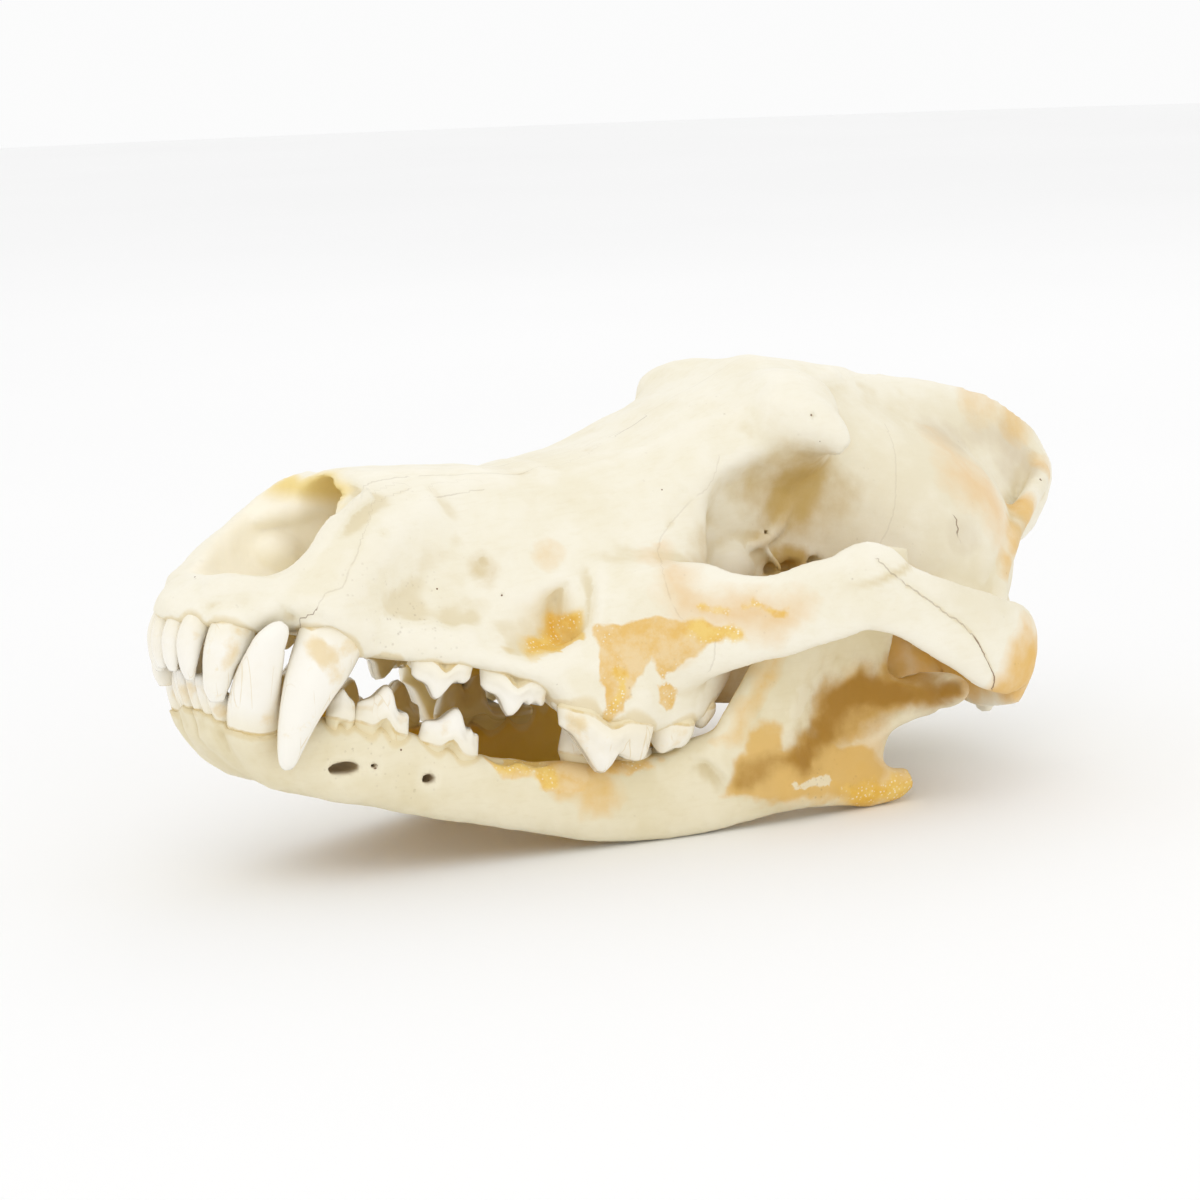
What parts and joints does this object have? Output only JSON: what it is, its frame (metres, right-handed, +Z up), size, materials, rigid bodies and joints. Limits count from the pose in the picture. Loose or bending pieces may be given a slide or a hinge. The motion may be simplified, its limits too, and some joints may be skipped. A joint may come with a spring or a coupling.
{
  "type": "wolf skull",
  "caption": "Life-size wolf skull with its lower jaw in place, lying on the jaw; a still display piece with teeth, cheek arches and brow modelled.",
  "frame": {"origin": "bottom centre of the box round the whole skull, on the surface it lies on", "axes": "-X is where the nose points, +X the back of the head, -Y the animal's left side, +Z up"},
  "size_m": [0.2694, 0.1428, 0.1074],
  "materials": {
    "bone": "dry cleaned bone, ivory with ochre stains",
    "jaw_bone": "dry cleaned bone, ivory with ochre stains"
  },
  "bodies": {
    "root": {"cranium": "bone", "mandible_left": "jaw_bone", "mandible_right": "jaw_bone"}
  },
  "joints": []
}
